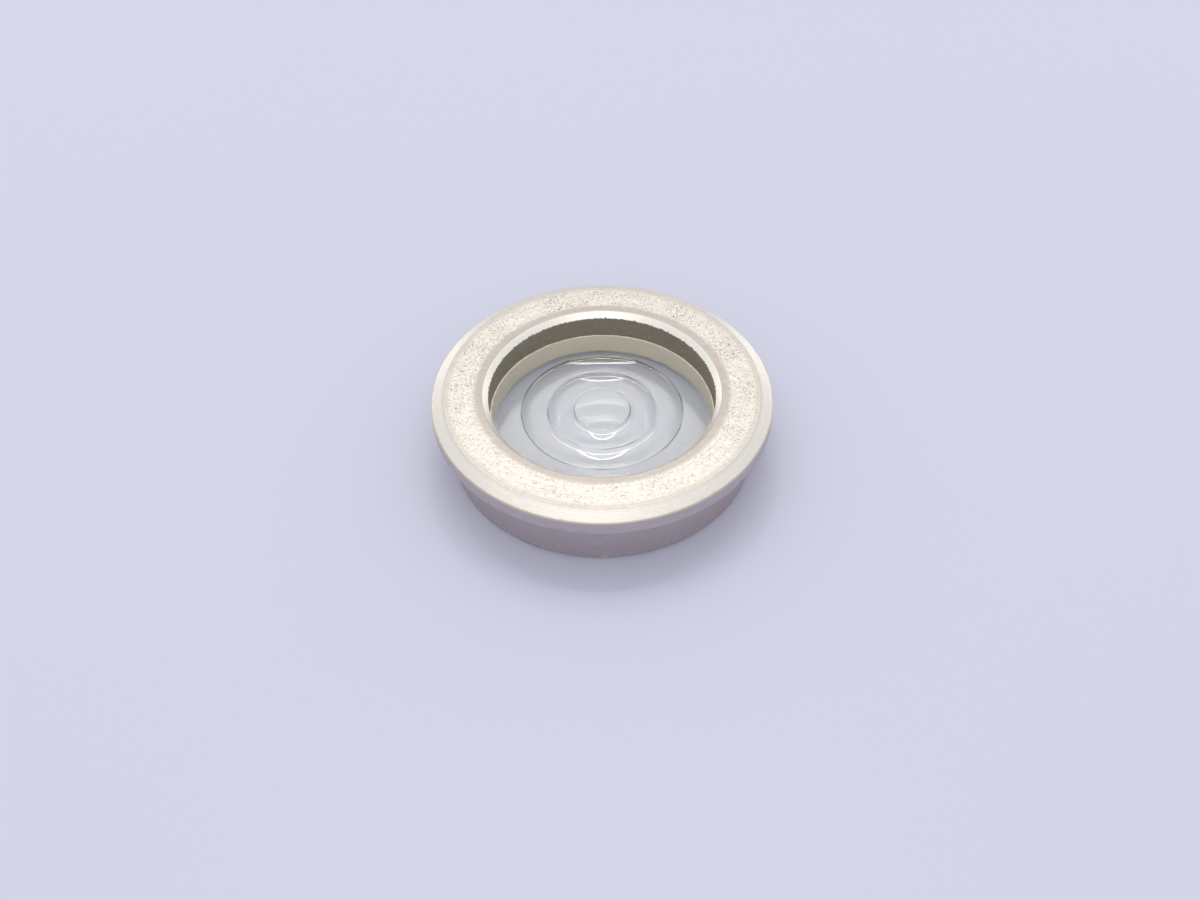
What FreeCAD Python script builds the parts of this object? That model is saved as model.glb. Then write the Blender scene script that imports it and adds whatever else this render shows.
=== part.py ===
import FreeCAD, Part
import os
from math import acos, hypot, sqrt, tan

# A round press-in sight glass: a flanged metal ring, a thick ringed glass lens in its bore, and the
# sealing compound that holds the lens. It stands on the ring's back face, z = 0, with its axis on Z.
# All sizes are in millimetres.

# Flanged ring, outside
flange_diameter = 50.0
body_diameter = 45.2
overall_height = 11.5
flange_rim_height = 2.15        # straight side of the flange, below its bevel
outer_bevel_width = 1.82        # measured across, in radius
outer_bevel_height = 0.95
lip_round = 0.3                 # where the bevel meets the flange's side
edge_round = 0.12               # every other broken edge
lead_in = 0.4                   # 45 degree lead-in at the back of the body

# Flanged ring, inside
bore_diameter = 33.3
inner_bevel_width = 0.9
inner_bevel_height = 0.85
pocket_wall_gap = 0.45          # the lens pocket is this much larger than the lens, in radius

# Lens
lens_clearance = 0.05           # the lens is this much smaller than the bore, in radius
lens_front_z = 7.15
lens_back_z = 0.75
ring_pitch = 3.92               # radial distance from one moulded ridge to the next
first_ridge_radius = 4.2
ridge_count = 3
groove_depth = 0.32             # of each hollow between two ridges
dish_depth = 0.22               # of the hollow inside the first ridge

# Fillets of sealing compound
front_bead_height = 0.35
front_bead_width = 0.6
rear_bead_height = 0.4
rear_bead_width = 0.85
bead_hollow = 0.2               # sag of a fillet's face, as a share of its depth

# Worked out from the above
flange_radius = flange_diameter / 2
body_radius = body_diameter / 2
bore_radius = bore_diameter / 2
lens_radius = bore_radius - lens_clearance
pocket_radius = lens_radius + pocket_wall_gap
top_flat_radius = flange_radius - outer_bevel_width
lip_z = overall_height - outer_bevel_height
flange_seat_z = lip_z - flange_rim_height
bore_edge_z = overall_height - inner_bevel_height


def point(r, z):
    return FreeCAD.Vector(r, 0, z)


def arc_through(start, middle, end):
    return Part.Arc(start, middle, end).toShape()


def turned(edges):
    """A solid of revolution about Z from the closed outline that the edges make."""
    face = Part.Face(Part.Wire(edges))
    return face.revolve(FreeCAD.Vector(0, 0, 0), FreeCAD.Vector(0, 0, 1), 360)


def corner_arc(before, corner, after, radius):
    """The arc that rounds a corner, tangent to both of its sides."""
    back = (before - corner).normalize()
    ahead = (after - corner).normalize()
    half_angle = acos(back.dot(ahead)) / 2
    reach = radius / tan(half_angle)
    centre = corner + (back + ahead).normalize() * hypot(reach, radius)
    middle = centre + (corner - centre).normalize() * radius
    return arc_through(corner + back * reach, middle, corner + ahead * reach)


def rounded_outline(corners):
    """A closed outline through corners (r, z, rounding), straight between its rounded corners."""
    points = [point(r, z) for r, z, _ in corners]
    count = len(points)
    corner_edges = []
    for i, (_, _, rounding) in enumerate(corners):
        arc = corner_arc(points[i - 1], points[i], points[(i + 1) % count], rounding) if rounding else None
        corner_edges.append(arc)
    edges = []
    for i in range(count):
        after = (i + 1) % count
        if corner_edges[i]:
            edges.append(corner_edges[i])
        start = corner_edges[i].lastVertex().Point if corner_edges[i] else points[i]
        end = corner_edges[after].firstVertex().Point if corner_edges[after] else points[after]
        edges.append(Part.LineSegment(start, end).toShape())
    return edges


def flanged_ring():
    """Body, flange and both bevels, with a pocket from the back that stops at a small shoulder."""
    return turned(rounded_outline([
        (pocket_radius, 0, 0),
        (body_radius - lead_in, 0, edge_round),
        (body_radius, lead_in, edge_round),
        (body_radius, flange_seat_z, 0),
        (flange_radius, flange_seat_z, edge_round),
        (flange_radius, lip_z, lip_round),
        (top_flat_radius, overall_height, edge_round),
        (bore_radius + inner_bevel_width, overall_height, edge_round),
        (bore_radius, bore_edge_z, edge_round),
        (bore_radius, lens_front_z, 0),
        (pocket_radius, lens_front_z, 0),
    ]))


def sight_lens():
    """A thick disc whose front face has a shallow dish and hollow grooves between sharp ridges."""
    ridges = [first_ridge_radius + i * ring_pitch for i in range(ridge_count)]
    dish_curve = (ridges[0] ** 2 + dish_depth ** 2) / (2 * dish_depth)
    dish_bottom = lens_front_z - dish_depth
    half = ridges[0] / 2
    half_z = dish_bottom + dish_curve - sqrt(dish_curve ** 2 - half ** 2)
    edges = [arc_through(point(0, dish_bottom), point(half, half_z), point(ridges[0], lens_front_z))]
    for inner, outer in zip(ridges, ridges[1:]):
        bottom = point((inner + outer) / 2, lens_front_z - groove_depth)
        edges.append(arc_through(point(inner, lens_front_z), bottom, point(outer, lens_front_z)))
    rim = [
        point(ridges[-1], lens_front_z),
        point(lens_radius, lens_front_z),
        point(lens_radius, lens_back_z),
        point(0, lens_back_z),
        point(0, dish_bottom),
    ]
    edges += [Part.LineSegment(a, b).toShape() for a, b in zip(rim, rim[1:])]
    return turned(edges)


def seal_sleeve():
    """The thin wall of sealing compound between the lens and its pocket."""
    return turned(rounded_outline([
        (lens_radius, lens_back_z, 0),
        (pocket_radius, lens_back_z, 0),
        (pocket_radius, lens_front_z, 0),
        (lens_radius, lens_front_z, 0),
    ]))


def bead(wall_radius, face_z, width, height):
    """A fillet in the corner between a wall and a lens face. A negative height hangs below the face."""
    corner = point(wall_radius, face_z)
    on_wall = point(wall_radius, face_z + height)
    on_face = point(wall_radius - width, face_z)
    middle = (on_wall + on_face) * 0.5
    hollow = middle + (corner - middle) * bead_hollow
    return turned([
        Part.LineSegment(on_face, corner).toShape(),
        Part.LineSegment(corner, on_wall).toShape(),
        arc_through(on_wall, hollow, on_face),
    ])


nodes = {
    "flanged_ring": flanged_ring(),
    "sight_lens": sight_lens(),
    "seal_sleeve": seal_sleeve(),
    "front_sealing_bead": bead(bore_radius, lens_front_z, front_bead_width, front_bead_height),
    "rear_sealing_bead": bead(pocket_radius, lens_back_z, rear_bead_width, -rear_bead_height),
}

os.makedirs("parts", exist_ok=True)
for name, shape in nodes.items():
    print(name, "valid", shape.isValid(), "volume", round(shape.Volume, 2), "mm3")
    shape.exportStep(f"parts/{name}.step")
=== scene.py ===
from functools import partial
from math import cos, radians, sin, tan

import bpy
from mathutils import Matrix, Quaternion, Vector


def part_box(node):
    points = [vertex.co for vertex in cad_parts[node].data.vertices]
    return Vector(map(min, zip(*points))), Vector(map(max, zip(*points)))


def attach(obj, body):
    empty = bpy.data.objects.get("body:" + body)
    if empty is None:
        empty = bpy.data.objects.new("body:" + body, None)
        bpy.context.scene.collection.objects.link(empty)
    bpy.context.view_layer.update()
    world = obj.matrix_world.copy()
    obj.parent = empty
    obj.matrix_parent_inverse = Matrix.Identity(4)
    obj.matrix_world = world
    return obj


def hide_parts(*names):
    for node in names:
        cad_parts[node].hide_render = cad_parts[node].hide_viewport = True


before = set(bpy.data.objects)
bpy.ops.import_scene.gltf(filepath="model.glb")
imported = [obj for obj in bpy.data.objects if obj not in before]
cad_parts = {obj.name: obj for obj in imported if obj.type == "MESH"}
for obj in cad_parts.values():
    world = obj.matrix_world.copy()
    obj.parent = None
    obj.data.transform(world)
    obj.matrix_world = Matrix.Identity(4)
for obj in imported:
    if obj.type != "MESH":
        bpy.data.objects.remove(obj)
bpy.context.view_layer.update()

mm = 0.001
tiny = 1e-7
pathRadius = 0.02           # any circle inside the part will do to turn a profile along
hair = 0.0001               # a share of a groove's width, small enough not to show
noiseSpan = (0.3, 0.7)      # where nearly all of a noise's values lie


def linearColour(code):
    # "#rrggbb" as painted on screen, turned to the linear values that the shaders work in
    shares = [int(code[i:i + 2], 16) / 255 for i in (1, 3, 5)]
    return tuple(c / 12.92 if c <= 0.04045 else ((c + 0.055) / 1.055) ** 2.4 for c in shares) + (1.0,)


def addNode(tree, kind, inputs=None, **settings):
    # adds one node with its settings, then fills its inputs: each is a plain value, an output to link,
    # or a whole node, whose first working output is linked
    node = tree.nodes.new(kind)
    for name, value in settings.items():
        setattr(node, name, value)
    for name, value in (inputs or {}).items():
        if isinstance(value, bpy.types.Node):
            value = next(output for output in value.outputs if output.enabled)
        if isinstance(value, bpy.types.NodeSocket):
            tree.links.new(value, node.inputs[name])
        else:
            node.inputs[name].default_value = value
    return node


def newMaterial(name):
    # an empty material's tree
    material = bpy.data.materials.new(name)
    material.use_nodes = True
    material.node_tree.nodes.clear()
    return material, material.node_tree


def roundedProfile(corners, closed=True, arcSteps=5):
    # corners are (radius, height, rounding, step, wear, pitting) in mm, where step, wear and pitting
    # belong to the straight run that starts at the corner; gives points, each with wear and pitting
    count = len(corners)
    rounded = []
    for i, (r, z, rounding, *rest) in enumerate(corners):
        corner = Vector((r, z))
        if not rounding:
            rounded.append([corner])
            continue
        back = (Vector(corners[i - 1][:2]) - corner).normalized()
        ahead = (Vector(corners[(i + 1) % count][:2]) - corner).normalized()
        half = back.angle(ahead) / 2
        centre = corner + (back + ahead).normalized() * rounding / sin(half)
        first = corner + back * rounding / tan(half) - centre
        last = corner + ahead * rounding / tan(half) - centre
        sweep = first.angle_signed(last)
        turns = [-sweep * k / arcSteps for k in range(arcSteps + 1)]
        rounded.append([centre + Vector((first.x * cos(a) - first.y * sin(a),
                                         first.x * sin(a) + first.y * cos(a))) for a in turns])
    points = []
    for i, (_, _, _, step, wear, pitting) in enumerate(corners):
        edgeWear = max(wear, corners[i - 1][4])
        points += [(p, edgeWear, 0.0) for p in rounded[i]]
        if closed or i < count - 1:
            start, end = rounded[i][-1], rounded[(i + 1) % count][0]
            pieces = max(1, round((end - start).length / step))
            points += [(start.lerp(end, k / pieces), wear, pitting) for k in range(1, pieces)]
    return points


def profileObject(name, points, closed=True):
    # the profile as a mesh of edges in the XZ plane, with its wear and pitting as point values
    count = len(points)
    edges = [(i, (i + 1) % count) for i in range(count if closed else count - 1)]
    mesh = bpy.data.meshes.new(name)
    mesh.from_pydata([(p.x * mm, 0, p.y * mm) for p, _, _ in points], edges, [])
    for index, attribute in enumerate(("wear", "pitting")):
        values = mesh.attributes.new(attribute, "FLOAT", "POINT")
        values.data.foreach_set("value", [point[1 + index] for point in points])
    piece = bpy.data.objects.new(name, mesh)
    bpy.context.scene.collection.objects.link(piece)
    return piece


def treeWithInputs(name, sockets):
    # an empty Geometry Nodes tree with a geometry in and out, and the inputs a user can change
    tree = bpy.data.node_groups.new(name, "GeometryNodeTree")
    tree.interface.new_socket("Geometry", in_out="INPUT", socket_type="NodeSocketGeometry")
    for label, kind in sockets.items():
        tree.interface.new_socket(label, in_out="INPUT", socket_type="NodeSocket" + kind)
    tree.interface.new_socket("Geometry", in_out="OUTPUT", socket_type="NodeSocketGeometry")
    add = partial(addNode, tree)
    return tree, add, add("NodeGroupInput").outputs


turnedInputs = {
    "segments": "Int", "waveDepth": "Float", "waveSize": "Float",
    "nickDepth": "Float", "nickSize": "Float", "nickShare": "Float",
    "pitDepth": "Float", "pitSize": "Float", "seed": "Float", "material": "Material",
}


# the noise values between which each kind of wear sets in
sinking = {"wave": (0.25, 0.75), "pit": (0.5, 0.68), "nickSpan": 0.12}


def makeTurnedTree():
    # turns a profile about Z, then lets waviness, nicks and pits sink into the surface
    tree, add, given = treeWithInputs("turnedPiece", turnedInputs)
    outline = add("GeometryNodeMeshToCurve", {0: given["Geometry"]})
    place = add("ShaderNodeSeparateXYZ", {0: add("GeometryNodeInputPosition")}).outputs
    sideways = add("ShaderNodeMath", {0: place["X"], 1: pathRadius}, operation="SUBTRACT")
    upright = add("ShaderNodeMath", {0: place["Z"], 1: -1.0}, operation="MULTIPLY")
    laid = add("ShaderNodeCombineXYZ", {"X": sideways, "Y": upright})
    outline = add("GeometryNodeSetPosition", {"Geometry": outline, "Position": laid})
    path = add("GeometryNodeCurvePrimitiveCircle", {"Resolution": given["segments"], "Radius": pathRadius})
    turned = add("GeometryNodeCurveToMesh", {"Curve": path, "Profile Curve": outline})
    closed = add("GeometryNodeMergeByDistance", {"Geometry": turned, "Distance": tiny})
    outward = add("GeometryNodeFlipFaces", {0: closed})

    wear = add("GeometryNodeInputNamedAttribute", {"Name": "wear"})
    pitting = add("GeometryNodeInputNamedAttribute", {"Name": "pitting"})
    nickEdge = add("ShaderNodeMath", {0: 1.0, 1: given["nickShare"]}, operation="SUBTRACT")
    nickFull = add("ShaderNodeMath", {0: nickEdge, 1: sinking["nickSpan"]}, operation="ADD")
    sunk = 0.0
    for share, depth, size, lowest, highest in (
            (1.0, given["waveDepth"], given["waveSize"], *sinking["wave"]),
            (wear, given["nickDepth"], given["nickSize"], nickEdge, nickFull),
            (pitting, given["pitDepth"], given["pitSize"], *sinking["pit"])):
        scale = add("ShaderNodeMath", {0: 1.0, 1: size}, operation="DIVIDE")
        noise = add("ShaderNodeTexNoise", {"W": given["seed"], "Scale": scale, "Detail": 2.0},
                    noise_dimensions="4D")
        eased = add("ShaderNodeMapRange", {"Value": noise, "From Min": lowest, "From Max": highest},
                    interpolation_type="SMOOTHSTEP")
        deep = add("ShaderNodeMath", {0: eased, 1: depth}, operation="MULTIPLY")
        sunk = add("ShaderNodeMath", {0: deep, 1: share, 2: sunk}, operation="MULTIPLY_ADD")
    inward = add("ShaderNodeMath", {0: sunk, 1: -1.0}, operation="MULTIPLY")
    move = add("ShaderNodeVectorMath", {0: add("GeometryNodeInputNormal"), "Scale": inward},
               operation="SCALE")
    worn = add("GeometryNodeSetPosition", {"Geometry": outward, "Offset": move})
    smooth = add("GeometryNodeSetShadeSmooth", {"Geometry": worn})
    real = add("GeometryNodeRealizeInstances", {0: smooth})
    finished = add("GeometryNodeSetMaterial", {"Geometry": real, "Material": given["material"]})
    add("NodeGroupOutput", {0: finished})
    return tree


def bakeTree(piece, tree, values):
    # sets the modifier's inputs by their identifiers, then keeps the result as the piece's plain mesh
    modifier = piece.modifiers.new("shape", "NODES")
    modifier.node_group = tree
    for item in tree.interface.items_tree:
        if item.item_type == "SOCKET" and item.in_out == "INPUT" and item.name in values:
            modifier[item.identifier] = values[item.name]
    shape = piece.evaluated_get(bpy.context.evaluated_depsgraph_get())
    mesh = bpy.data.meshes.new_from_object(shape)
    mesh.name = piece.name
    piece.modifiers.remove(modifier)
    piece.data = mesh
    return piece


def placePiece(piece, node):
    # the piece rides on the part's only body in place of its CAD node
    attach(piece, "root")
    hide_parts(node)
    print(piece.name, "done,", len(piece.data.polygons), "faces")


turnedTree = makeTurnedTree()
print("turning tree ready")

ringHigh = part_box("flanged_ring")[1] / mm
lensLow, lensHigh = [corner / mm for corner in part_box("sight_lens")]
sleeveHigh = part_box("seal_sleeve")[1] / mm

ring = {
    "outerRadius": ringHigh.x, "height": ringHigh.z,
    "bodyRadius": 22.6, "leadIn": 0.4, "seatHeight": 8.4,
    "bevelWidth": 1.82, "bevelHeight": 0.95, "lipRounding": 0.3, "edgeRounding": 0.12,
    "boreRadius": 16.65, "innerBevelWidth": 0.9, "innerBevelHeight": 0.85,
    "pocketRadius": sleeveHigh.x, "pocketTop": sleeveHigh.z,
    "fineStep": 0.25, "step": 0.4, "hiddenStep": 1.2, "segments": 640,
    "waveDepth": 0.02, "waveSize": 5.0, "nickDepth": 0.16, "nickSize": 1.1, "nickShare": 0.45,
    "pitDepth": 0.03, "pitSize": 0.7, "seed": 3.0,
    "innerBandColour": "#c5beb8", "outerBandColour": "#d4cec7", "pittedColour": "#e5e1da",
    "fleckColour": "#eeeae2", "speckColour": "#8b847d", "innerBevelColour": "#fffcf5",
    # the lip's colour is a painted reflection: a yellowish band standing in for what the rounded lip reflects
    "outerBevelColour": "#f1ede6", "paintedLipReflection": "#d3c8b3",
    # the sides' two colours are painted darker and violet, standing in for shade and the floor's reflection
    "paintedShadeSideDark": "#b6acad", "paintedShadeSideLight": "#d0c7c8", "scratchColour": "#8f8789", "tickColour": "#ece8e4",
    "boreDark": "#7b7467", "boreLight": "#a69e8e",
    "faceRoughness": 0.5, "bevelRoughness": 0.38, "boreRoughness": 0.7, "pitRoughness": 0.25,
    "boreMetal": 0.35,
    # sizes of the patterns: real turning marks are finer, and these are as coarse as they must be to show
    "speckSize": 0.3, "threadSize": 0.75, "fleckSize": 0.5, "raggedSize": 0.32, "patchSize": 3.5,
    "markSize": 0.16, "streakSize": 1.6, "scratchSize": 4.0, "tickSize": 0.35,
    "streakStretch": 12, "scratchStretch": 30,      # how much longer than tall
    # where the looks change, in mm
    "pitBand": (18.3, 19.2, 21.9, 22.9),            # the pits fade in and out between these radii
    "faceFade": (0.06, 0.03), "sideFade": (0.05, 0.25),     # below the top, and below the lip
    "outerFade": (0.04, 0.16), "innerFade": (0.02, 0.12),   # past the face's edges
    "lipDrop": 0.05, "lipReach": 0.13, "tickHeights": (2.6, 1.0),
    "raggedDrop": 0.2, "raggedRise": 0.14, "wallMargin": 0.1,
    # the noise values between which each pattern sets in, and its strength
    # the front's rarer, fainter specks are part wear and part painted light, where the front catches more
    # light
    "lean": (-0.12, 0.06), "frontStrength": 0.65,   # specks are rarer and fainter at the front
    "patchRange": (0.35, 0.65), "speckCut": (0.56, 0.525), "speckRange": (-0.04, 0.16),
    "threadWidth": 0.03, "threadStrength": 0.5, "threadRange": (0.32, 0.62),
    "pitStrength": (0.35, 0.9), "fleckRange": (0.45, 0.65), "grainRange": (0.75, 1.25),
    "grainShade": (0.88, 1.04), "scratchRange": (0.68, 0.76), "tickRange": (0.62, 0.68),
    "crumbRange": (0.45, 0.7), "crumbStrength": 0.45,
    "markBump": (0.25, 0.01), "pitBump": (0.5, 0.04),       # strength, and height in mm
}


def ringProfile():
    r, h = ring, ring["height"]
    lip = h - r["bevelHeight"]
    soft, fine, step, hidden = r["edgeRounding"], r["fineStep"], r["step"], r["hiddenStep"]
    return roundedProfile([
        (r["pocketRadius"], 0, 0, hidden, 0, 0),
        (r["bodyRadius"] - r["leadIn"], 0, soft, fine, 0.3, 0),
        (r["bodyRadius"], r["leadIn"], soft, step, 0.25, 0),
        (r["bodyRadius"], r["seatHeight"], 0, step, 1.0, 0),
        (r["outerRadius"], r["seatHeight"], soft, fine, 0.3, 0),
        (r["outerRadius"], lip, r["lipRounding"], fine, 0.1, 0),
        (r["outerRadius"] - r["bevelWidth"], h, soft, fine, 0.05, 1),
        (r["boreRadius"] + r["innerBevelWidth"], h, soft, fine, 0, 0),
        (r["boreRadius"], h - r["innerBevelHeight"], soft, step, 0.12, 0),
        (r["boreRadius"], r["pocketTop"], 0, step, 0, 0),
        (r["pocketRadius"], r["pocketTop"], 0, hidden, 0, 0),
    ])


def platedSteel():
    # taken as dull nickel plate on turned steel: the eye gets a warm grey-white metal, its face pitted
    # between two smooth turned bands, bevels bright, sides painted darker and violet as shade and the floor's
    # reflection, and streaked, the bore bare and darkened
    material, tree = newMaterial("dullNickelPlatedSteel")
    add = partial(addNode, tree)
    r, h = ring, ring["height"]
    smooth = {"interpolation_type": "SMOOTHSTEP"}
    place = add("ShaderNodeTexCoord").outputs["Object"]
    depth, up = add("ShaderNodeSeparateXYZ", {0: place}).outputs[1:]
    flat = add("ShaderNodeVectorMath", {0: place, 1: (1, 1, 0)}, operation="MULTIPLY")
    radius = add("ShaderNodeVectorMath", {0: flat}, operation="LENGTH")

    # where the face, the pitted band and the bevels are, by height and radius
    faceStart, faceFull = [(h - drop) * mm for drop in r["faceFade"]]
    onFace = add("ShaderNodeMapRange", {"Value": up, "From Min": faceStart, "From Max": faceFull})
    start, full, fading, end = r["pitBand"]
    inner = add("ShaderNodeMapRange", {"Value": radius, "From Min": start * mm, "From Max": full * mm},
                **smooth)
    outer = add("ShaderNodeMapRange", {"Value": radius, "From Min": end * mm, "From Max": fading * mm},
                **smooth)
    band = add("ShaderNodeMath", {0: inner, 1: outer}, operation="MULTIPLY")
    band = add("ShaderNodeMath", {0: band, 1: onFace}, operation="MULTIPLY")
    bevelStart = r["outerRadius"] - r["bevelWidth"]
    bevelEnd = r["boreRadius"] + r["innerBevelWidth"]
    outerStart, outerFull = [(bevelStart + past) * mm for past in r["outerFade"]]
    innerStart, innerFull = [(bevelEnd - past) * mm for past in r["innerFade"]]
    outerBevel = add("ShaderNodeMapRange", {"Value": radius, "From Min": outerStart,
                                            "From Max": outerFull})
    innerBevel = add("ShaderNodeMapRange", {"Value": radius, "From Min": innerStart,
                                            "From Max": innerFull})
    bright = add("ShaderNodeMath", {0: outerBevel, 1: innerBevel}, operation="MAXIMUM")

    # fine dark specks, dense at the back of the part and sparse at its front, partly as wear and partly as
    # painted light where the front catches more of it, with pale flecks among them
    patches = add("ShaderNodeTexNoise", {"Vector": place, "Scale": 1 / (r["patchSize"] * mm), "Detail": 3.0})
    specks = add("ShaderNodeTexNoise", {"Vector": place, "Scale": 1 / (r["speckSize"] * mm), "Detail": 5.0,
                                        "Roughness": 0.65})
    toBack = add("ShaderNodeMapRange", {"Value": depth, "From Min": -r["outerRadius"] * mm,
                                        "From Max": r["outerRadius"] * mm,
                                        "To Min": r["lean"][0], "To Max": r["lean"][1]})
    dense = add("ShaderNodeMath", {0: patches, 1: toBack}, operation="ADD")
    threshold = add("ShaderNodeMapRange", {
        "Value": dense, "From Min": r["patchRange"][0], "From Max": r["patchRange"][1],
        "To Min": r["speckCut"][0], "To Max": r["speckCut"][1]})
    over = add("ShaderNodeMath", {0: specks, 1: threshold}, operation="SUBTRACT")
    dots = add("ShaderNodeMapRange", {"Value": over, "From Min": r["speckRange"][0],
                                      "From Max": r["speckRange"][1]}, **smooth)
    threads = add("ShaderNodeTexNoise", {"Vector": place, "Scale": 1 / (r["threadSize"] * mm), "Detail": 3.0})
    offLine = add("ShaderNodeMath", {0: threads, 1: 0.5}, operation="SUBTRACT")
    offLine = add("ShaderNodeMath", {0: offLine}, operation="ABSOLUTE")
    lines = add("ShaderNodeMapRange", {"Value": offLine, "From Min": r["threadWidth"], "From Max": 0.0,
                                       "To Max": r["threadStrength"]}, **smooth)
    often = add("ShaderNodeMapRange", {"Value": dense, "From Min": r["threadRange"][0],
                                       "From Max": r["threadRange"][1]}, **smooth)
    lines = add("ShaderNodeMath", {0: lines, 1: often}, operation="MULTIPLY")
    pits = add("ShaderNodeMath", {0: dots, 1: lines}, operation="MAXIMUM")
    pitShare = add("ShaderNodeMapRange", {"Value": band, "To Min": r["pitStrength"][0],
                                          "To Max": r["pitStrength"][1]})
    pitShare = add("ShaderNodeMath", {0: pitShare, 1: onFace}, operation="MULTIPLY")
    # specks fade towards the front: part wear, part painted light
    darker = add("ShaderNodeMapRange", {"Value": depth, "From Min": -r["outerRadius"] * mm,
                                        "From Max": 0.0, "To Min": r["frontStrength"], "To Max": 1.0})
    pitShare = add("ShaderNodeMath", {0: pitShare, 1: darker}, operation="MULTIPLY")
    pits = add("ShaderNodeMath", {0: pits, 1: pitShare}, operation="MULTIPLY")
    flecks = add("ShaderNodeTexNoise", {"Vector": place, "Scale": 1 / (r["fleckSize"] * mm), "Detail": 3.0})
    flecks = add("ShaderNodeMapRange", {"Value": flecks, "From Min": r["fleckRange"][0],
                                        "From Max": r["fleckRange"][1]}, **smooth)
    flecks = add("ShaderNodeMath", {0: flecks, 1: band}, operation="MULTIPLY")

    # turning marks run round the face: they are rings of equal radius, plainest on the smooth bands
    rings = add("ShaderNodeCombineXYZ", {"X": radius, "Y": up})
    marks = add("ShaderNodeTexNoise", {"Vector": rings, "Scale": 1 / (r["markSize"] * mm), "Detail": 2.0})
    grain = add("ShaderNodeMath", {0: marks, 1: specks}, operation="ADD")
    dull = add("ShaderNodeMapRange", {
        "Value": grain, "From Min": r["grainRange"][0], "From Max": r["grainRange"][1],
        "To Min": r["grainShade"][0], "To Max": r["grainShade"][1]})

    isOuter = add("ShaderNodeMath", {0: radius, 1: (full + fading) / 2 * mm}, operation="GREATER_THAN")
    plate = add("ShaderNodeMix", {"Factor": isOuter, "A": linearColour(r["innerBandColour"]),
                                  "B": linearColour(r["outerBandColour"])}, data_type="RGBA")
    plate = add("ShaderNodeMix", {"Factor": band, "A": plate, "B": linearColour(r["pittedColour"])},
                data_type="RGBA")
    plate = add("ShaderNodeMix", {"Factor": flecks, "A": plate, "B": linearColour(r["fleckColour"])},
                data_type="RGBA")
    plate = add("ShaderNodeMix", {"Factor": pits, "A": plate, "B": linearColour(r["speckColour"])},
                data_type="RGBA")
    plate = add("ShaderNodeMix", {"Factor": innerBevel, "A": plate,
                                  "B": linearColour(r["innerBevelColour"])}, data_type="RGBA")
    plate = add("ShaderNodeMix", {"Factor": outerBevel, "A": plate,
                                  "B": linearColour(r["outerBevelColour"])}, data_type="RGBA")
    plate = add("ShaderNodeVectorMath", {0: plate, "Scale": dull}, operation="SCALE")

    # the sides are painted darker and violet, standing in for shade and the floor's reflection, with streaks
    # and a few scratches that run round them and pale ticks low down
    lip = h - r["bevelHeight"]
    sideStart, sideFull = [(lip - drop) * mm for drop in r["sideFade"]]
    onSide = add("ShaderNodeMapRange", {"Value": up, "From Min": sideStart, "From Max": sideFull})
    drawn = add("ShaderNodeVectorMath", {0: place, 1: (1, 1, r["streakStretch"])}, operation="MULTIPLY")
    streaks = add("ShaderNodeTexNoise", {"Vector": drawn, "Scale": 1 / (r["streakSize"] * mm), "Detail": 4.0})
    sides = add("ShaderNodeMix", {"Factor": streaks, "A": linearColour(r["paintedShadeSideDark"]),
                                  "B": linearColour(r["paintedShadeSideLight"])}, data_type="RGBA")
    scored = add("ShaderNodeVectorMath", {0: place, 1: (1, 1, r["scratchStretch"])}, operation="MULTIPLY")
    scratches = add("ShaderNodeTexNoise", {"Vector": scored, "Scale": 1 / (r["scratchSize"] * mm),
                                           "Detail": 2.0})
    scratches = add("ShaderNodeMapRange", {"Value": scratches, "From Min": r["scratchRange"][0],
                                           "From Max": r["scratchRange"][1]}, **smooth)
    sides = add("ShaderNodeMix", {"Factor": scratches, "A": sides, "B": linearColour(r["scratchColour"])},
                data_type="RGBA")
    ticks = add("ShaderNodeTexNoise", {"Vector": place, "Scale": 1 / (r["tickSize"] * mm), "Detail": 2.0})
    ticks = add("ShaderNodeMapRange", {"Value": ticks, "From Min": r["tickRange"][0],
                                       "From Max": r["tickRange"][1]}, **smooth)
    lowDown = add("ShaderNodeMapRange", {"Value": up, "From Min": r["tickHeights"][0] * mm,
                                         "From Max": r["tickHeights"][1] * mm})
    lowTicks = add("ShaderNodeMath", {0: ticks, 1: lowDown}, operation="MULTIPLY")
    sides = add("ShaderNodeMix", {"Factor": lowTicks, "A": sides, "B": linearColour(r["tickColour"])},
                data_type="RGBA")
    plate = add("ShaderNodeMix", {"Factor": onSide, "A": plate, "B": sides}, data_type="RGBA")
    # a thin yellowish band painted round the rounded lip stands in for the reflection it catches
    onLip = add("ShaderNodeMath", {0: up, 1: (lip - r["lipDrop"]) * mm, 2: r["lipReach"] * mm},
                operation="COMPARE")
    onLip = add("ShaderNodeMath", {0: onLip, 1: outerBevel}, operation="MULTIPLY")
    plate = add("ShaderNodeMix", {"Factor": onLip, "A": plate, "B": linearColour(r["paintedLipReflection"])},
                data_type="RGBA")

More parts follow.
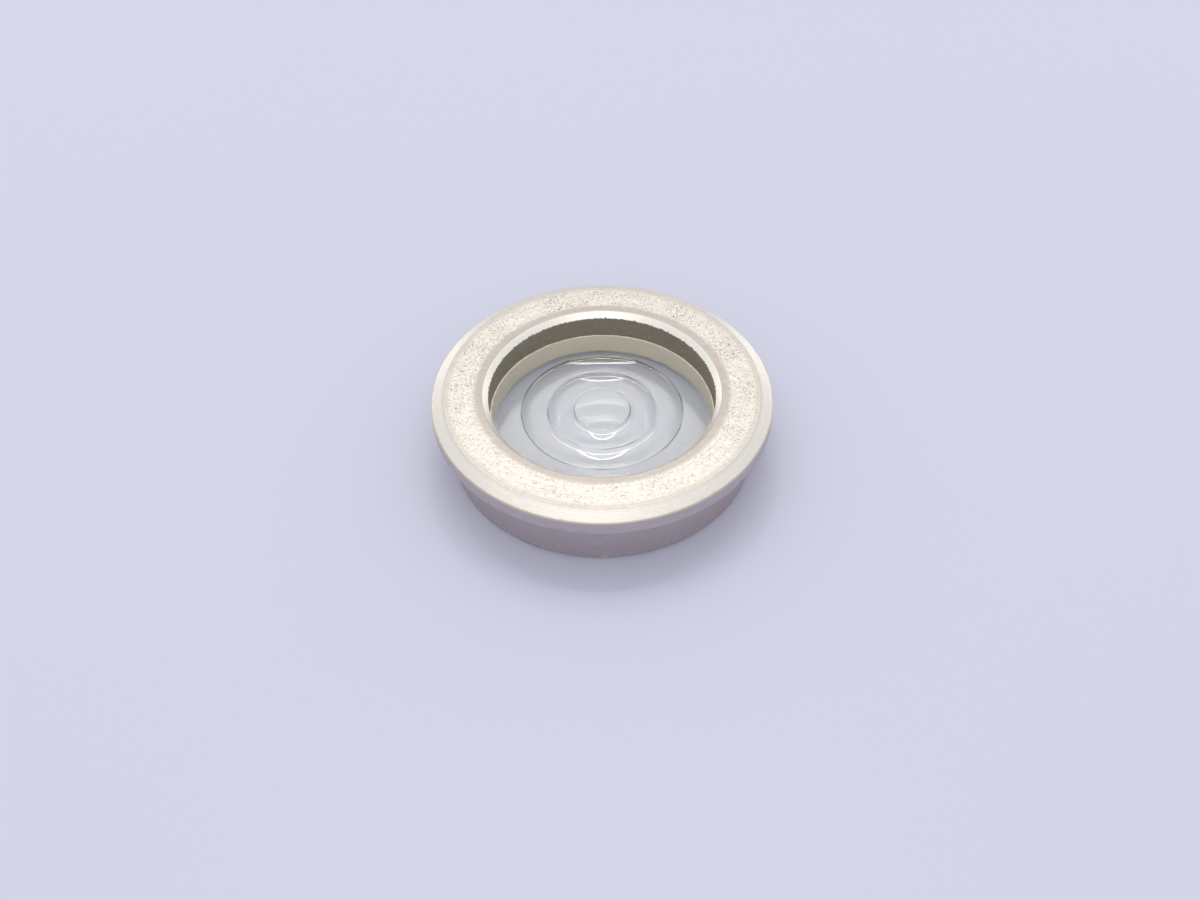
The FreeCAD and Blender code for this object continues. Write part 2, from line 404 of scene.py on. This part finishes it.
    # the bare bore wall has a ragged upper edge
    boreEdge = h - r["innerBevelHeight"]
    ragged = add("ShaderNodeTexNoise", {"Vector": place, "Scale": 1 / (r["raggedSize"] * mm), "Detail": 3.0})
    edge = add("ShaderNodeMapRange", {
        "Value": ragged, "From Min": noiseSpan[0], "From Max": noiseSpan[1],
        "To Min": (boreEdge - r["raggedDrop"]) * mm, "To Max": (boreEdge + r["raggedRise"]) * mm})
    below = add("ShaderNodeMath", {0: up, 1: edge}, operation="LESS_THAN")
    inside = add("ShaderNodeMath", {0: radius, 1: (r["pocketRadius"] + r["wallMargin"]) * mm},
                 operation="LESS_THAN")
    bare = add("ShaderNodeMath", {0: below, 1: inside}, operation="MULTIPLY")
    wall = add("ShaderNodeMix", {"Factor": ragged, "A": linearColour(r["boreDark"]),
                                 "B": linearColour(r["boreLight"])}, data_type="RGBA")
    paleSpecks = add("ShaderNodeMath", {0: ticks, 1: patches}, operation="MULTIPLY")
    paleSpecks = add("ShaderNodeMapRange", {"Value": paleSpecks, "From Min": r["crumbRange"][0],
                                        "From Max": r["crumbRange"][1], "To Max": r["crumbStrength"]})
    wall = add("ShaderNodeMix", {"Factor": paleSpecks, "A": wall, "B": linearColour(r["tickColour"])},
               data_type="RGBA")
    colour = add("ShaderNodeMix", {"Factor": bare, "A": plate, "B": wall}, data_type="RGBA")

    metal = add("ShaderNodeMapRange", {"Value": bare, "To Min": 1.0, "To Max": r["boreMetal"]})
    rough = add("ShaderNodeMapRange", {"Value": bright, "To Min": r["faceRoughness"],
                                       "To Max": r["bevelRoughness"]})
    rough = add("ShaderNodeMath", {0: pits, 1: r["pitRoughness"], 2: rough}, operation="MULTIPLY_ADD")
    rough = add("ShaderNodeMix", {"Factor": bare, "A": rough, "B": r["boreRoughness"]})
    turned = add("ShaderNodeBump", {"Height": marks, "Strength": r["markBump"][0],
                                    "Distance": r["markBump"][1] * mm})
    pitted = add("ShaderNodeBump", {"Height": pits, "Strength": r["pitBump"][0],
                                    "Distance": r["pitBump"][1] * mm, "Normal": turned}, invert=True)
    shader = add("ShaderNodeBsdfPrincipled", {"Base Color": colour, "Metallic": metal,
                                              "Roughness": rough, "Normal": pitted})
    add("ShaderNodeOutputMaterial", {0: shader})
    return material


def treeValues(piece, material):
    # the piece's own values for the turning tree: lengths from mm to metres, the rest as they are
    plain = ("segments", "nickShare", "seed")
    values = {name: piece[name] if name in plain else piece[name] * mm
              for name in turnedInputs if name != "material"}
    return {**values, "material": material}


flangedRing = bakeTree(profileObject("flangedRing", ringProfile()), turnedTree,
                       treeValues(ring, platedSteel()))
placePiece(flangedRing, "flanged_ring")

lens = {
    "radius": lensHigh.x, "front": lensHigh.z, "back": lensLow.z, "rimRounding": 0.25, "rimStep": 1.0,
    "firstRidge": 4.165, "ridgePitch": 3.92, "ridgeCount": 3, "grooveDepth": 0.4, "dishDepth": 0.1,
    "rows": 136, "segments": 384,
    "waveDepth": 0.006, "waveSize": 6.0, "nickDepth": 0.0, "nickSize": 1.0, "nickShare": 0.3,
    "pitDepth": 0.0, "pitSize": 1.0, "seed": 8.0,
    "colour": "#fcfdfc", "shadeColour": "#f4f6f4", "index": 1.52,
    # the ridge lines are painted shade: a dark colour standing in for the dark surroundings the sharp ridges
    # bend into view
    "paintedRidgeShadeColour": "#74776f", "paintedRidgeShadeWidth": 0.1, "paintedRidgeShadeSize": 6.0,
    "paintedRidgeShadeRange": (0.4, 0.6), "faintestRidgeShade": 0.2,
    "hazeSize": 2.5, "haze": 0.015, "rippleBump": (0.05, 0.02), "rearRoughness": 0.16,
    "bubbleGap": 3.0, "bubbleRadius": 0.14, "bubbleRoughness": 0.7,
    "chip": (-2.0, -3.6, 7.15), "chipRadius": 0.26,
}


def makeLensTree():
    # the front face follows one rule: a shallow dish, hollow grooves between sharp ridges, a flat margin
    shape = {"radius": "Float", "front": "Float", "firstRidge": "Float", "ridgePitch": "Float",
             "ridgeCount": "Int", "grooveDepth": "Float", "dishDepth": "Float", "rows": "Int"}
    tree, add, given = treeWithInputs("ringedLens", {**shape, **turnedInputs})
    start = add("ShaderNodeCombineXYZ", {"Z": given["front"]})
    end = add("ShaderNodeCombineXYZ", {"X": given["radius"], "Z": given["front"]})
    points = add("ShaderNodeMath", {0: given["rows"], 1: 1.0}, operation="ADD")
    line = add("GeometryNodeMeshLine", {"Count": points, "Start Location": start, "Offset": end},
               mode="END_POINTS", count_mode="TOTAL")
    along = add("ShaderNodeSeparateXYZ", {0: add("GeometryNodeInputPosition")})
    past = add("ShaderNodeMath", {0: along, 1: given["firstRidge"]}, operation="SUBTRACT")
    turns = add("ShaderNodeMath", {0: past, 1: given["ridgePitch"]}, operation="DIVIDE")
    share = add("ShaderNodeMath", {0: turns}, operation="FRACT")
    centred = add("ShaderNodeMath", {0: share, 1: 2.0, 2: -1.0}, operation="MULTIPLY_ADD")
    hollow = add("ShaderNodeMath", {0: centred, 1: centred, 2: -1.0}, operation="MULTIPLY_ADD")
    groove = add("ShaderNodeMath", {0: hollow, 1: given["grooveDepth"]}, operation="MULTIPLY")
    inward = add("ShaderNodeMath", {0: along, 1: given["firstRidge"]}, operation="DIVIDE")
    bowl = add("ShaderNodeMath", {0: inward, 1: inward, 2: -1.0}, operation="MULTIPLY_ADD")
    dish = add("ShaderNodeMath", {0: bowl, 1: given["dishDepth"]}, operation="MULTIPLY")
    lastTurn = add("ShaderNodeMath", {0: given["ridgeCount"], 1: 1 + hair}, operation="SUBTRACT")
    inGrooves = add("ShaderNodeMath", {0: turns, 1: lastTurn}, operation="LESS_THAN")
    inDish = add("ShaderNodeMath", {0: turns, 1: -hair}, operation="LESS_THAN")
    fall = add("GeometryNodeSwitch", {"Switch": inGrooves, "False": 0.0, "True": groove}, input_type="FLOAT")
    fall = add("GeometryNodeSwitch", {"Switch": inDish, "False": fall, "True": dish}, input_type="FLOAT")
    offset = add("ShaderNodeCombineXYZ", {"Z": fall})
    face = add("GeometryNodeSetPosition", {"Geometry": line, "Offset": offset})
    both = add("GeometryNodeJoinGeometry", {0: face})
    tree.links.new(given["Geometry"], both.inputs[0])
    outline = add("GeometryNodeMergeByDistance", {"Geometry": both, "Distance": tiny})
    turned = add("GeometryNodeGroup", {"Geometry": outline, **{name: given[name] for name in turnedInputs}},
                 node_tree=turnedTree)
    real = add("GeometryNodeRealizeInstances", {0: turned})
    finished = add("GeometryNodeSetMaterial", {"Geometry": real, "Material": given["material"]})
    add("NodeGroupOutput", {0: finished})
    return tree


def pressedGlass():
    # taken as clear soda-lime glass, pressed and fire-polished in front: the eye gets sharp lamp lines in
    # the grooves, a slight veil, and a thin painted dark line along each ridge, standing in for the dark
    # surroundings that the sharp ridges bend into view; the hidden back is guessed as satin, which keeps a
    # second set of lamp lines from showing
    material, tree = newMaterial("pressedClearGlass")
    add = partial(addNode, tree)
    place = add("ShaderNodeTexCoord").outputs["Object"]
    up = add("ShaderNodeSeparateXYZ", {0: place}).outputs["Z"]
    flat = add("ShaderNodeVectorMath", {0: place, 1: (1, 1, 0)}, operation="MULTIPLY")
    radius = add("ShaderNodeVectorMath", {0: flat}, operation="LENGTH")
    ripple = add("ShaderNodeTexNoise", {"Vector": place, "Scale": 1 / (lens["hazeSize"] * mm), "Detail": 2.0})
    bump = add("ShaderNodeBump", {"Height": ripple, "Strength": lens["rippleBump"][0],
                                  "Distance": lens["rippleBump"][1] * mm})
    haze = add("ShaderNodeMapRange", {"Value": ripple, "From Min": noiseSpan[0], "From Max": noiseSpan[1],
                                      "To Min": 0.0, "To Max": lens["haze"]})
    isRear = add("ShaderNodeMath", {0: up, 1: (lens["back"] + lens["rimRounding"]) * mm},
                 operation="LESS_THAN")
    rough = add("ShaderNodeMix", {"Factor": isRear, "A": haze, "B": lens["rearRoughness"]})

    # a few bubbles and one chip on the first ridge scatter the light
    cells = add("ShaderNodeTexVoronoi", {"Vector": place, "Scale": 1 / (lens["bubbleGap"] * mm)})
    bubbles = add("ShaderNodeMath", {0: cells.outputs["Distance"],
                                     1: lens["bubbleRadius"] / lens["bubbleGap"]}, operation="LESS_THAN")
    toChip = add("ShaderNodeVectorMath", {0: place, 1: [c * mm for c in lens["chip"]]}, operation="DISTANCE")
    chipped = add("ShaderNodeMath", {0: toChip, 1: lens["chipRadius"] * mm}, operation="LESS_THAN")
    flaws = add("ShaderNodeMath", {0: bubbles, 1: chipped}, operation="MAXIMUM")
    rough = add("ShaderNodeMix", {"Factor": flaws, "A": rough, "B": lens["bubbleRoughness"]})

    # a painted dark line lies within a hair of each ridge, standing in for the dark surroundings that the
    # sharp ridges bend into view; it is stronger in some places than in others
    paintedRidgeShade = 0.0
    for ridge in range(lens["ridgeCount"]):
        at = (lens["firstRidge"] + ridge * lens["ridgePitch"]) * mm
        onRidge = add("ShaderNodeMath", {0: radius, 1: at, 2: lens["paintedRidgeShadeWidth"] * mm}, operation="COMPARE")
        paintedRidgeShade = add("ShaderNodeMath", {0: onRidge, 1: paintedRidgeShade}, operation="MAXIMUM")
    ridgeShadeNoise = add("ShaderNodeTexNoise", {"Vector": place, "Scale": 1 / (lens["paintedRidgeShadeSize"] * mm), "Detail": 1.0})
    ridgeShadeStrength = add("ShaderNodeMapRange", {
        "Value": ridgeShadeNoise, "From Min": lens["paintedRidgeShadeRange"][0], "From Max": lens["paintedRidgeShadeRange"][1],
        "To Min": lens["faintestRidgeShade"], "To Max": 1.0})
    paintedRidgeShade = add("ShaderNodeMath", {0: paintedRidgeShade, 1: ridgeShadeStrength}, operation="MULTIPLY")
    isFront = add("ShaderNodeMath", {0: 1.0, 1: isRear}, operation="SUBTRACT")
    paintedRidgeShade = add("ShaderNodeMath", {0: paintedRidgeShade, 1: isFront}, operation="MULTIPLY")
    # the painted dark ridge lines are mixed into the glass's colour here
    colour = add("ShaderNodeMix", {"Factor": paintedRidgeShade, "A": linearColour(lens["colour"]),
                                   "B": linearColour(lens["paintedRidgeShadeColour"])}, data_type="RGBA")
    glass = add("ShaderNodeBsdfPrincipled", {"Base Color": colour, "Roughness": rough, "IOR": lens["index"],
                                             "Transmission Weight": 1.0, "Normal": bump})
    clear = add("ShaderNodeBsdfTransparent", {"Color": linearColour(lens["shadeColour"])})
    rays = add("ShaderNodeLightPath").outputs
    through = add("ShaderNodeMath", {0: rays["Is Shadow Ray"], 1: rays["Is Diffuse Ray"]},
                  operation="MAXIMUM")
    add("ShaderNodeOutputMaterial", {0: add("ShaderNodeMixShader", {0: through, 1: glass, 2: clear})})
    return material


lensRim = roundedProfile([
    (0, lens["back"], 0, lens["rimStep"], 0, 0),
    (lens["radius"], lens["back"], lens["rimRounding"], lens["rimStep"], 0, 0),
    (lens["radius"], lens["front"], 0, lens["rimStep"], 0, 0),
], closed=False)
lensShape = {name: lens[name] * mm for name in
             ("radius", "front", "firstRidge", "ridgePitch", "grooveDepth", "dishDepth")}
sightLens = bakeTree(profileObject("sightLens", lensRim, closed=False), makeLensTree(), {
    **lensShape, "ridgeCount": lens["ridgeCount"], "rows": lens["rows"], **treeValues(lens, pressedGlass())})
placePiece(sightLens, "sight_lens")

seal = {
    "bite": 0.03,           # the compound wets the glass, so its faces sit this far inside the glass
    "wallGap": 0.01, "topGap": 0.02, "step": 0.5,
    "frontWidth": 0.26, "frontHeight": 0.14, "rearWidth": 0.6, "rearHeight": 0.4,
    "hollow": 0.2, "hollowSteps": 6, "segments": 384,
    "beadWave": 0.06, "beadNick": 0.09,
    "waveDepth": 0.0, "waveSize": 1.2, "nickDepth": 0.0, "nickSize": 0.7, "nickShare": 0.45,
    "pitDepth": 0.0, "pitSize": 1.0, "seed": 5.0,
    # the pale speck colour on the beads is a painted glint
    "dark": "#e0d7c4", "light": "#ebe3d2", "paintedGlintColour": "#fbf8f0", "cloudSize": 3.0, "fleckSize": 0.35,
    "fleckRange": (0.58, 0.66), "cloudBump": (0.2, 0.05), "roughness": 0.5, "index": 1.55,
}


def castEpoxy():
    # taken as filled epoxy, cast in place: the eye gets an opaque clouded beige, satin, with a few
    # pale specks painted along the beads, standing in for glints where the compound meets the glass
    material, tree = newMaterial("beigeCastEpoxy")
    add = partial(addNode, tree)
    place = add("ShaderNodeTexCoord").outputs["Object"]
    clouds = add("ShaderNodeTexNoise", {"Vector": place, "Scale": 1 / (seal["cloudSize"] * mm),
                                        "Detail": 3.0})
    colour = add("ShaderNodeMix", {"Factor": clouds, "A": linearColour(seal["dark"]),
                                   "B": linearColour(seal["light"])}, data_type="RGBA")
    paleSpecks = add("ShaderNodeTexNoise", {"Vector": place, "Scale": 1 / (seal["fleckSize"] * mm),
                                        "Detail": 2.0})
    paleSpecks = add("ShaderNodeMapRange", {"Value": paleSpecks, "From Min": seal["fleckRange"][0],
                                        "From Max": seal["fleckRange"][1]})
    # the beads' wear values also pick out where the painted glints go
    wear = add("ShaderNodeAttribute", attribute_name="wear").outputs["Fac"]
    paleSpecks = add("ShaderNodeMath", {0: paleSpecks, 1: wear}, operation="MULTIPLY")
    colour = add("ShaderNodeMix", {"Factor": paleSpecks, "A": colour, "B": linearColour(seal["paintedGlintColour"])},
                 data_type="RGBA")
    bump = add("ShaderNodeBump", {"Height": clouds, "Strength": seal["cloudBump"][0],
                                  "Distance": seal["cloudBump"][1] * mm})
    shader = add("ShaderNodeBsdfPrincipled", {"Base Color": colour, "Roughness": seal["roughness"],
                                              "IOR": seal["index"], "Normal": bump})
    add("ShaderNodeOutputMaterial", {0: shader})
    return material


def beadProfile(wall, face, width, height):
    # a hollow fillet from the wall to the lens face; a negative height hangs below the face
    points = []
    for k in range(seal["hollowSteps"] + 1):
        t = k / seal["hollowSteps"]
        straight = Vector((wall - width * (1 - t), face + height * t))
        points.append((straight.lerp(Vector((wall, face)), 4 * t * (1 - t) * seal["hollow"]), 1.0, 0.0))
    sunk = face - seal["bite"] if height > 0 else face + seal["bite"]
    points += [(Vector((wall, sunk)), 0.0, 0.0), (Vector((wall - width, sunk)), 0.0, 0.0)]
    return points if height < 0 else points[::-1]


sleeveInner = lens["radius"] - seal["bite"]
sleeveOuter = ring["pocketRadius"] - seal["wallGap"]
sleeveTop = lens["front"] - seal["topGap"]
sleeveProfile = roundedProfile([
    (sleeveInner, sleeveTop, 0, seal["step"], 0, 0),
    (sleeveInner, lens["back"], 0, seal["step"], 0, 0),
    (sleeveOuter, lens["back"], 0, seal["step"], 0, 0),
    (sleeveOuter, sleeveTop, 0, seal["step"], 0, 0),
])
compound = castEpoxy()
sealSleeve = bakeTree(profileObject("sealSleeve", sleeveProfile), turnedTree, treeValues(seal, compound))
placePiece(sealSleeve, "seal_sleeve")

beadValues = treeValues({**seal, "waveDepth": seal["beadWave"], "nickDepth": seal["beadNick"]}, compound)
for name, node, wall, face, width, height in (
        ("frontSealingBead", "front_sealing_bead", ring["boreRadius"], lens["front"],
         seal["frontWidth"], seal["frontHeight"]),
        ("rearSealingBead", "rear_sealing_bead", ring["pocketRadius"], lens["back"],
         seal["rearWidth"], -seal["rearHeight"])):
    bead = bakeTree(profileObject(name, beadProfile(wall, face, width, height)), turnedTree, beadValues)
    placePiece(bead, node)

studio = {
    "floorSize": 3.0, "floorColour": "#c5c8dc", "floorRoughness": 0.6,
    "worldColour": "#f4f4f6", "worldStrength": 0.89, "lampColour": "#fff8ee",
    "lampHeight": 0.9, "barWidth": 0.03, "barPower": 1.0, "crossPower": 1.7,
    "tailWidth": 0.05, "tailPower": 0.8,
    # one half of the lamp's outline as (x, y) at its height: from its far point to the crossbar's end, and
    # from there out along the tail
    "lampSide": ((0, 0.658), (0.041, 0.518), (0.099, 0.384), (0.19, 0.257)),
    "lampTail": ((0.19, 0.257), (0.304, 0.327), (0.447, 0.518)),
    # soft panels as (middle, width, depth, power)
    "panels": {
        "overhead": ((-0.1, 0.1, 1.2), 1.2, 1.0, 1.6),
        "front": ((0, -0.9, 1.0), 1.0, 0.7, 1.6),
        "rightBack": ((0.6, 0.58, 0.07), 0.7, 0.14, 0.4),
        "leftBack": ((-0.6, 0.58, 0.07), 0.7, 0.14, 0.4),
    },
}

half = studio["floorSize"] / 2
floorMesh = bpy.data.meshes.new("floor")
floorMesh.from_pydata([(-half, -half, 0), (half, -half, 0), (half, half, 0), (-half, half, 0)], [],
                      [(0, 1, 2, 3)])
floor = bpy.data.objects.new("floor", floorMesh)
bpy.context.scene.collection.objects.link(floor)
paintedBoard, floorTree = newMaterial("paintedBoard")
floorShader = addNode(floorTree, "ShaderNodeBsdfPrincipled", {
    "Base Color": linearColour(studio["floorColour"]), "Roughness": studio["floorRoughness"]})
addNode(floorTree, "ShaderNodeOutputMaterial", {0: floorShader})
floorMesh.materials.append(paintedBoard)

world = bpy.data.worlds.new("studio")
world.use_nodes = True
world.node_tree.nodes.clear()
sky = addNode(world.node_tree, "ShaderNodeBackground", {"Color": linearColour(studio["worldColour"]),
                                                        "Strength": studio["worldStrength"]})
addNode(world.node_tree, "ShaderNodeOutputWorld", {0: sky})
bpy.context.scene.world = world


def softLight(name, middle, along, width, depth, power):
    # a rectangular light that faces the part, with its width laid along a direction
    data = bpy.data.lights.new(name, "AREA")
    data.shape = "RECTANGLE"
    data.size, data.size_y = width, depth
    data.energy = power
    data.color = linearColour(studio["lampColour"])[:3]
    light = bpy.data.objects.new(name, data)
    light.location = middle
    facing = middle.normalized()
    sideways = (along - facing * along.dot(facing)).normalized()
    light.rotation_euler = Matrix((sideways, facing.cross(sideways), facing)).transposed().to_euler()
    bpy.context.scene.collection.objects.link(light)


def lampBar(name, start, end, width, power):
    # a thin bar from start to end on the lamp's plane, with its power given per metre
    start, end = [Vector((x, y, studio["lampHeight"])) for x, y in (start, end)]
    length = (end - start).length
    softLight(name, (start + end) / 2, end - start, length, width, power * length)


# a bow-shaped overhead lamp: the grooves show its outline as closed crescents with fading tails
for side, sideName in ((-1, "left"), (1, "right")):
    for line, width, power in (("lampSide", studio["barWidth"], studio["barPower"]),
                               ("lampTail", studio["tailWidth"], studio["tailPower"])):
        points = [(side * x, y) for x, y in studio[line]]
        for index, (start, end) in enumerate(zip(points, points[1:])):
            lampBar(line + sideName + str(index), start, end, width, power)
crossX, crossY = studio["lampSide"][-1]
lampBar("crossBar", (-crossX, crossY), (crossX, crossY), studio["barWidth"], studio["crossPower"])
for name, (middle, width, depth, power) in studio["panels"].items():
    middle = Vector(middle)
    softLight(name, middle, middle.cross((0, 0, 1)), width, depth, power)

view = {"distance": 0.18815, "elevation": 46.66, "azimuth": 0.186, "aim": (-0.00042, 0, -0.00161),
        "roll": -0.917, "lens": 36.69, "clipStart": 0.01}
cameraData = bpy.data.cameras.new("camera")
cameraData.lens = view["lens"]
cameraData.clip_start = view["clipStart"]
camera = bpy.data.objects.new("camera", cameraData)
rise, around, aim = radians(view["elevation"]), radians(view["azimuth"]), Vector(view["aim"])
back = Vector((sin(around) * cos(rise), -cos(around) * cos(rise), sin(rise)))
camera.location = aim + back * view["distance"]
turn = (-back).to_track_quat("-Z", "Y") @ Quaternion((0, 0, 1), radians(view["roll"]))
camera.rotation_euler = turn.to_euler()
bpy.context.scene.collection.objects.link(camera)
bpy.context.scene.camera = camera
bpy.context.scene.view_settings.view_transform = "Standard"
print("studio ready")
